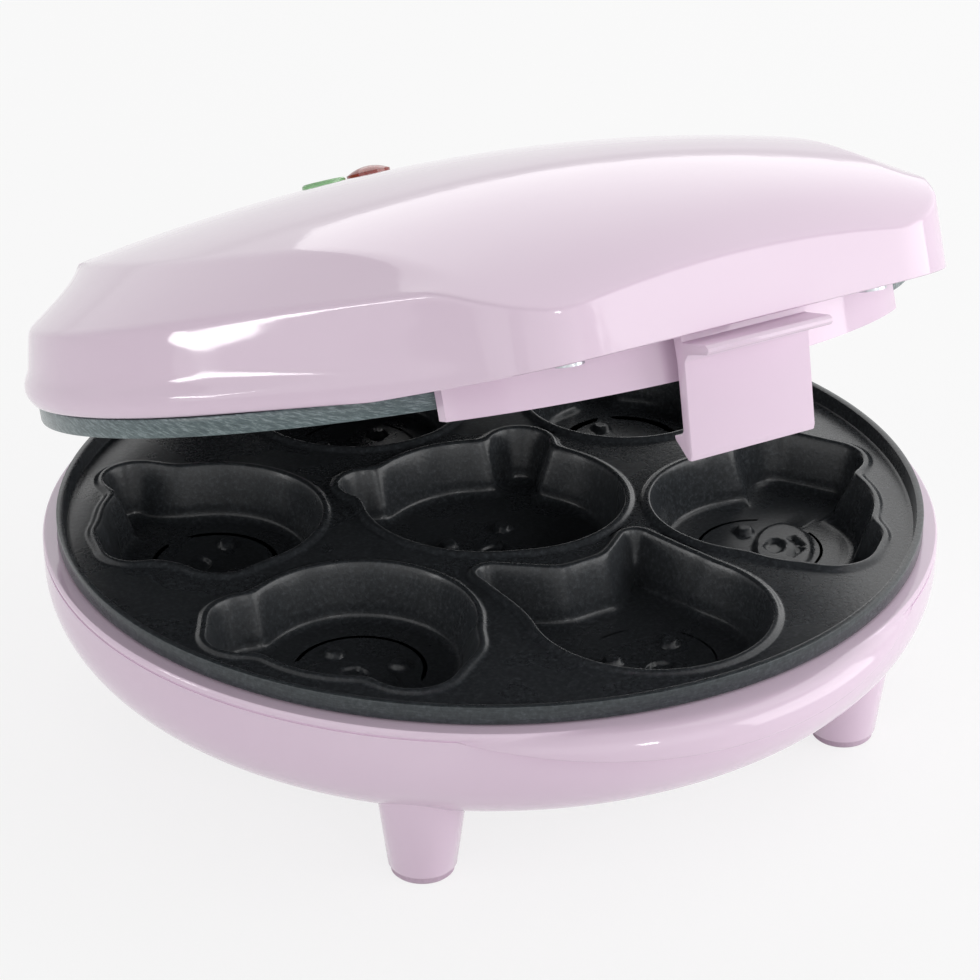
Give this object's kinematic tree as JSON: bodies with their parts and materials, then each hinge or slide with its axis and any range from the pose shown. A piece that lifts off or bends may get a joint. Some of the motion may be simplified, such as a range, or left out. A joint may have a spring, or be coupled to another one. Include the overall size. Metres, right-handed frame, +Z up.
{
  "type": "mini cake maker",
  "caption": "Countertop cooker with a round bowl base, a hinged domed lid held by a front latch, and dark plates with shaped cake cavities.",
  "frame": {"origin": "on the table plane under the middle of the footprint, 2.75 mm in front of the axis of the lower plate", "axes": "+Z up, -Y towards the latch and the front, +Y towards the hinge, +X to the right seen from the front"},
  "size_m": [0.186, 0.2014, 0.133],
  "materials": {
    "shell_plastic": "gloss moulded",
    "coated_plate": "dark non-stick coating, satin",
    "foot_rubber": "matt",
    "fastener_steel": "zinc plated",
    "element_sheath": "oxidised sheath",
    "shield_aluminium": "plain sheet",
    "ceramic_body": "unglazed",
    "gland_rubber": "matt",
    "inner_plastic": "heat resistant moulding",
    "wire_sleeve": "glass-fibre sleeve",
    "lamp_glass": "clear",
    "red_lens_plastic": "translucent gloss",
    "green_lens_plastic": "translucent gloss"
  },
  "bodies": {
    "base": {"base_housing": "shell_plastic", "foot_pads": "foot_rubber", "lower_plate": "coated_plate", "lower_plate_screws": "fastener_steel", "lower_element": "element_sheath", "lower_element_clamps": "fastener_steel", "lower_heat_shield": "shield_aluminium", "lower_shield_screws": "fastener_steel", "thermal_fuse": "ceramic_body", "terminal_block": "ceramic_body", "cord_gland": "gland_rubber", "cord_clamp": "inner_plastic", "cord_clamp_screws": "fastener_steel", "base_wiring": "wire_sleeve", "hinge_pins": "fastener_steel"},
    "lid": {"lid_housing": "shell_plastic", "lid_frame": "shell_plastic", "lid_frame_screws": "fastener_steel", "upper_plate": "coated_plate", "upper_plate_screws": "fastener_steel", "upper_element": "element_sheath", "upper_element_clamps": "fastener_steel", "upper_heat_shield": "shield_aluminium", "upper_shield_screws": "fastener_steel", "thermostat": "ceramic_body", "lamp_holder": "inner_plastic", "lamp_holder_screws": "fastener_steel", "neon_lamps": "lamp_glass", "red_lens": "red_lens_plastic", "green_lens": "green_lens_plastic", "lid_wiring": "wire_sleeve", "latch_pin": "fastener_steel"},
    "latch": {"latch": "shell_plastic"}
  },
  "joints": [
    {"name": "lid_hinge", "type": "hinge", "parent": "base", "child": "lid", "pos_m": [0, 0.09545, 0.0416], "axis": [-1, 0, 0], "range_deg": [-19.16, 80.84]},
    {"name": "latch_pivot", "type": "hinge", "parent": "lid", "child": "latch", "pos_m": [0, -0.089, 0.11829], "axis": [-1, 0, 0], "range_deg": [0, 10]}
  ]
}
